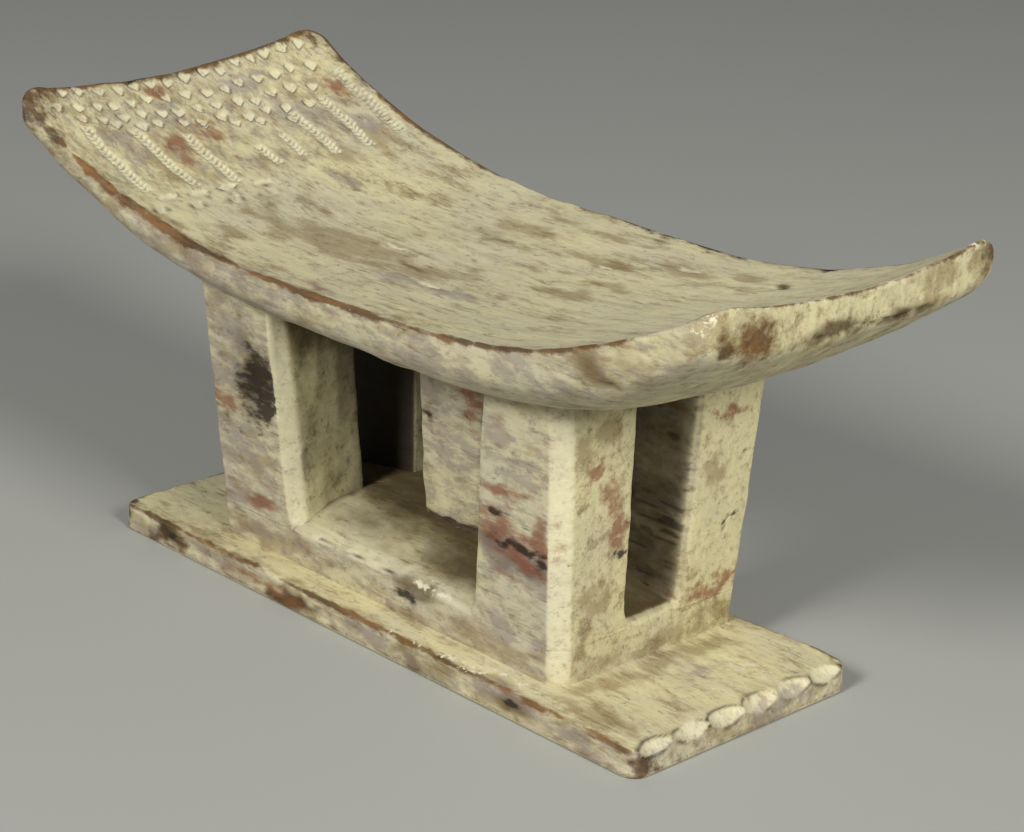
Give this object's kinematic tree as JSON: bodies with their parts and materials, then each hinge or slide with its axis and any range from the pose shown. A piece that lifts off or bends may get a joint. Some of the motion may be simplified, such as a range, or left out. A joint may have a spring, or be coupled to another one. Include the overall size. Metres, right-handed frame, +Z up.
{
  "type": "headrest",
  "caption": "Low carved wooden headrest: a long dished seat with upswept ends on corner posts around a pillar, with open windows, on a plinth and thin base plate.",
  "frame": {"origin": "centre of the base plate's underside", "axes": "+X along the seat's length, +Y across the seat towards the back long side, +Z up from the surface it stands on"},
  "size_m": [0.404, 0.163, 0.2005],
  "materials": {
    "seat_kaolin": "matt cream kaolin whitewash rubbed through to brown wood along the grain and the rims",
    "post_kaolin": "matt grey-cream kaolin over adzed wood, with red earth stains and charred spots",
    "frame_kaolin": "matt cream kaolin, thick in the hollows and flaking at the sills",
    "base_kaolin": "matt cream kaolin on top, edges worn to orange-brown wood"
  },
  "bodies": {
    "root": {"base_plate": "base_kaolin", "plinth": "frame_kaolin", "post_front_left": "post_kaolin", "post_front_right": "post_kaolin", "post_back_left": "post_kaolin", "post_back_right": "post_kaolin", "center_pillar": "post_kaolin", "seat": "seat_kaolin"}
  },
  "joints": []
}
